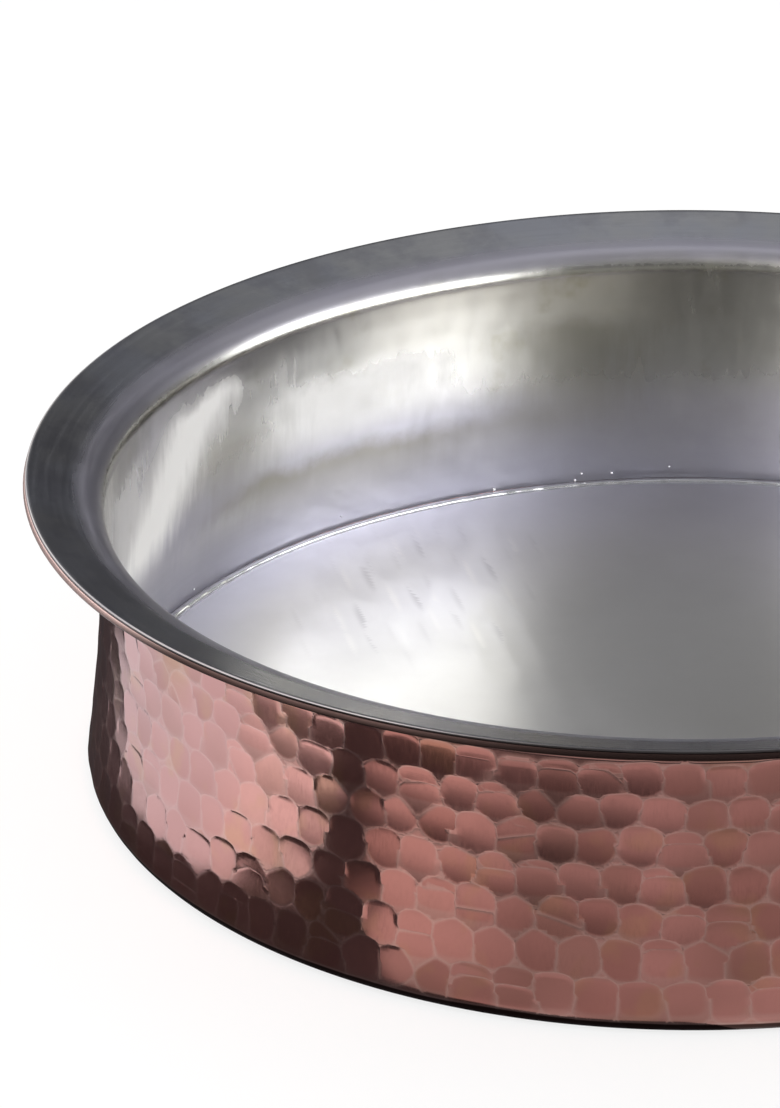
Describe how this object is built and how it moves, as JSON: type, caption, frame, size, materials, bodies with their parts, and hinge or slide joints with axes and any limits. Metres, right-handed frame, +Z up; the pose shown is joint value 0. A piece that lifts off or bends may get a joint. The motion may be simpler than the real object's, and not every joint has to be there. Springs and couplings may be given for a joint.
{
  "type": "copper cooking pot",
  "caption": "Wide, low hand-hammered copper cooking pot with a swelling side wall, a sloping turned-out rim and a tinned inside, without handles or lid.",
  "frame": {"origin": "centre of the round face that the pot stands on", "axes": "+Z up along the pot's axis of symmetry, from its base to its mouth; +X and +Y are level"},
  "size_m": [0.341, 0.341, 0.0822],
  "materials": {
    "copper_outside": "hand-hammered copper, satin, warm red with darker brown patches",
    "copper_base": "flat hammered copper, dulled",
    "braze": "brazing metal, dull",
    "tin_wall": "wiped tin, satin, cloudy",
    "tin_floor": "wiped tin, softly hammered, satin",
    "tin_joint": "pooled tin, bright"
  },
  "bodies": {
    "root": {"wall": "copper_outside", "base_disc": "copper_base", "braze_ring": "braze", "wall_lining": "tin_wall", "floor_lining": "tin_floor", "corner_tin": "tin_joint"}
  },
  "joints": []
}
